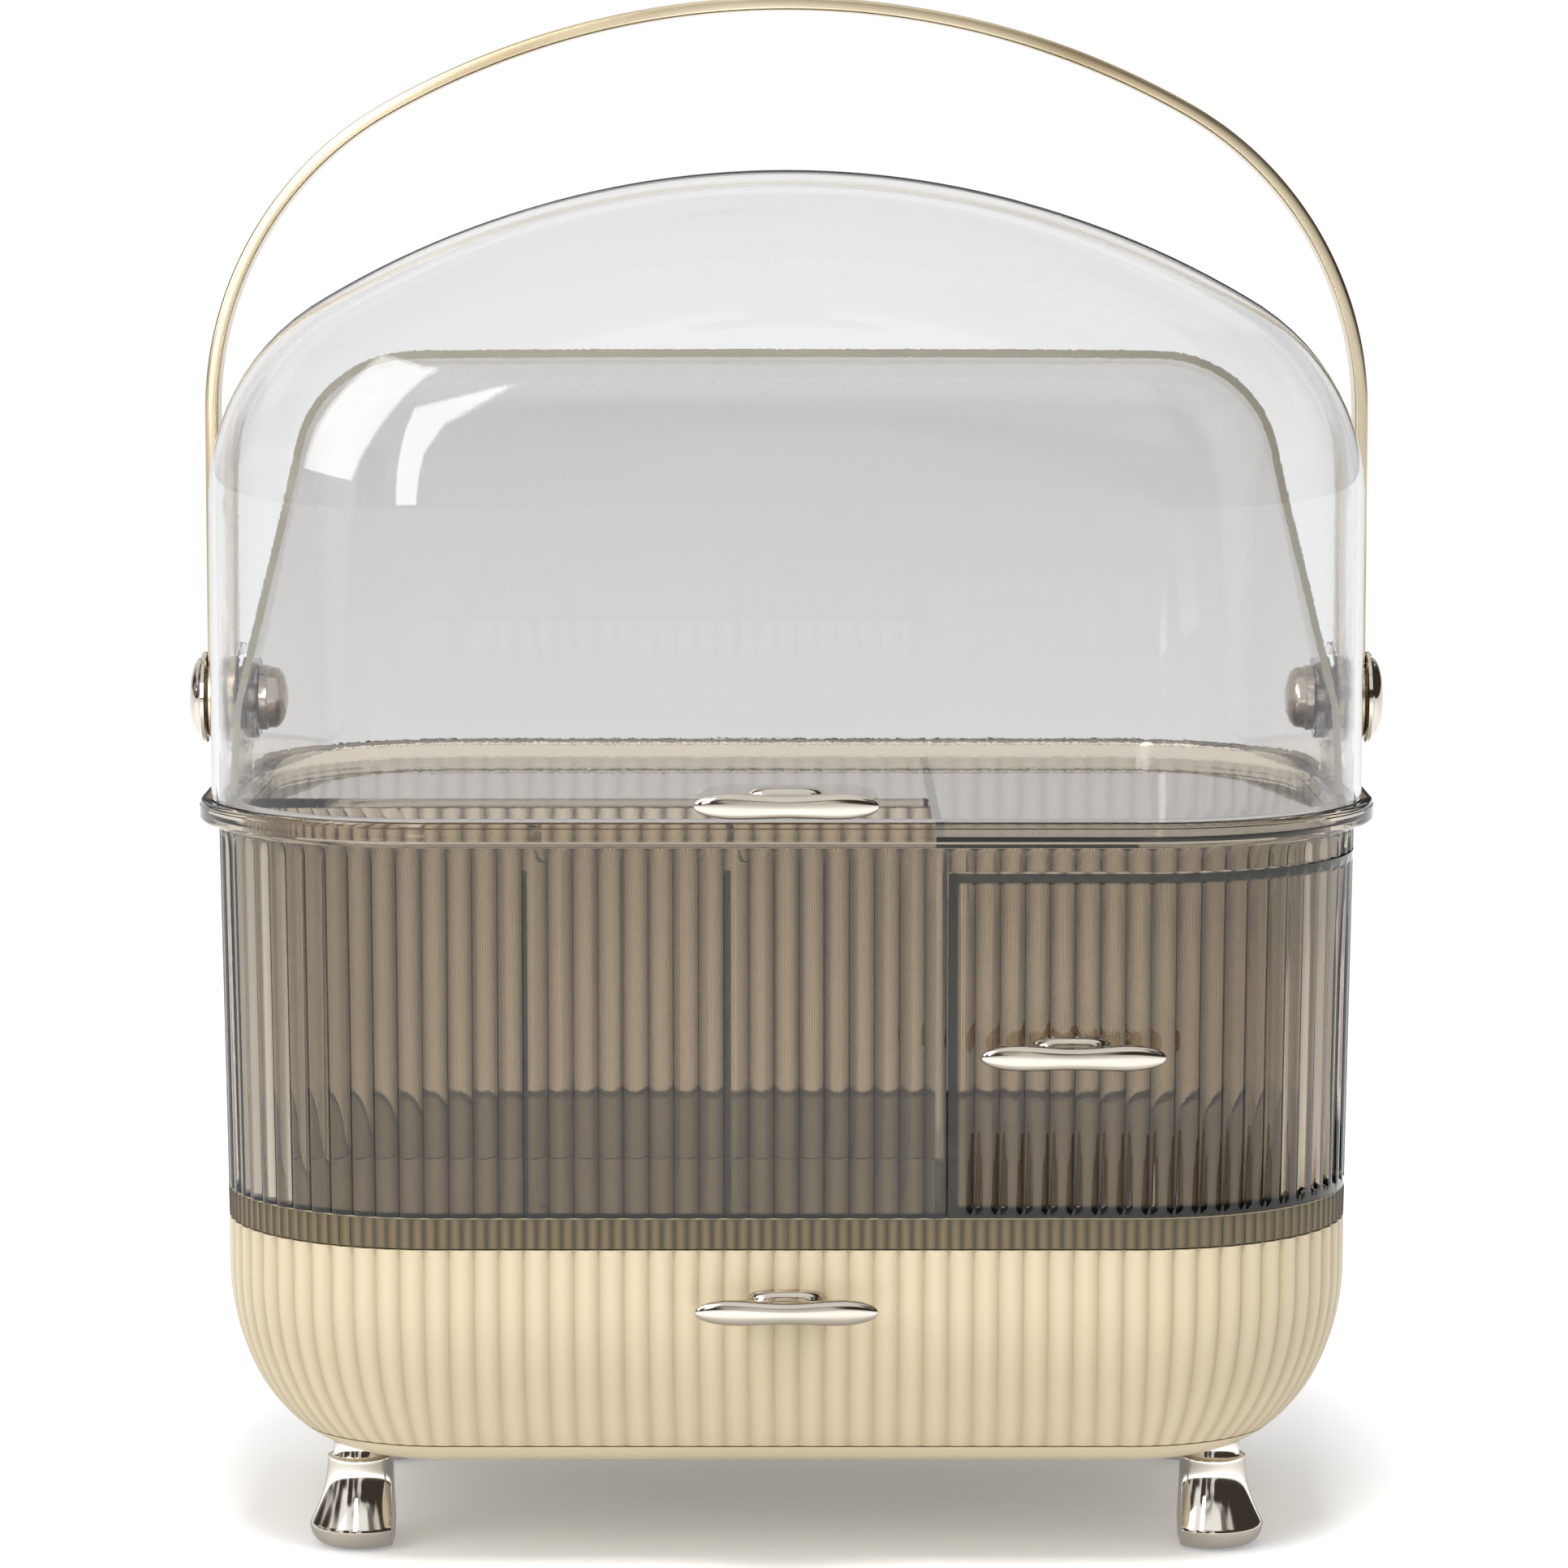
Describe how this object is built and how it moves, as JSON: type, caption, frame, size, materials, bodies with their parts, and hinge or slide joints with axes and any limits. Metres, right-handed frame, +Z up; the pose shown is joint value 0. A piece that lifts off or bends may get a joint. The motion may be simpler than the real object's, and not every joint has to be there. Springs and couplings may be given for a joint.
{
  "type": "makeup organizer",
  "caption": "Lidded makeup organizer on feet: fluted case with open wells and a corner drawer, a base drawer, a domed visor that tips back and a carrying handle.",
  "frame": {"origin": "on the ground under the middle of the overall box", "axes": "+X to the object's right as it faces the viewer, +Y to the back, +Z up; the front faces -Y"},
  "size_m": [0.3232, 0.2188, 0.409],
  "materials": {
    "cream_plastic": "semi-gloss moulded plastic",
    "smoked_plastic": "smoky brown see-through plastic",
    "clear_plastic": "clear gloss plastic",
    "champagne_metal": "champagne gold, brushed",
    "chrome": "polished plating",
    "screw_steel": "plain",
    "nylon": "satin",
    "rubber": "matte"
  },
  "bodies": {
    "cabinet": {"base_pan": "cream_plastic", "base_casing": "cream_plastic", "belt": "smoked_plastic", "case_wall": "smoked_plastic", "bay_wall": "clear_plastic", "well_back": "clear_plastic", "divider_left": "clear_plastic", "divider_right": "clear_plastic", "rim": "smoked_plastic", "deck": "clear_plastic", "hood": "clear_plastic", "foot_front_left": "chrome", "foot_front_right": "chrome", "foot_rear_left": "chrome", "foot_rear_right": "chrome", "foot_pads": "rubber", "foot_screws": "screw_steel", "pivot_cap_left": "chrome", "pivot_cap_right": "chrome", "pivot_nut_left": "chrome", "pivot_nut_right": "chrome", "pivot_washers": "nylon"},
    "visor": {"visor_shell": "clear_plastic", "visor_pull": "champagne_metal", "visor_pull_screw": "screw_steel"},
    "handle": {"handle_band": "champagne_metal"},
    "base_drawer": {"base_drawer_front": "cream_plastic", "base_drawer_tray": "cream_plastic", "base_drawer_pull": "champagne_metal", "base_drawer_pull_screw": "screw_steel"},
    "corner_drawer": {"corner_drawer_front": "smoked_plastic", "corner_drawer_box": "clear_plastic", "corner_drawer_pull": "champagne_metal", "corner_drawer_pull_screw": "screw_steel"}
  },
  "joints": [
    {"name": "visor_hinge", "type": "hinge", "parent": "cabinet", "child": "visor", "pos_m": [0, 0.00445, 0.221], "axis": [-1, 0, 0], "range_deg": [0, 76]},
    {"name": "handle_hinge", "type": "hinge", "parent": "cabinet", "child": "handle", "pos_m": [0, 0.00445, 0.221], "axis": [-1, 0, 0], "range_deg": [-100, 100]},
    {"name": "base_drawer_slide", "type": "slide", "parent": "cabinet", "child": "base_drawer", "axis": [0, -1, 0], "range_m": [0, 0.11]},
    {"name": "corner_drawer_slide", "type": "slide", "parent": "cabinet", "child": "corner_drawer", "axis": [0, -1, 0], "range_m": [0, 0.095]}
  ]
}
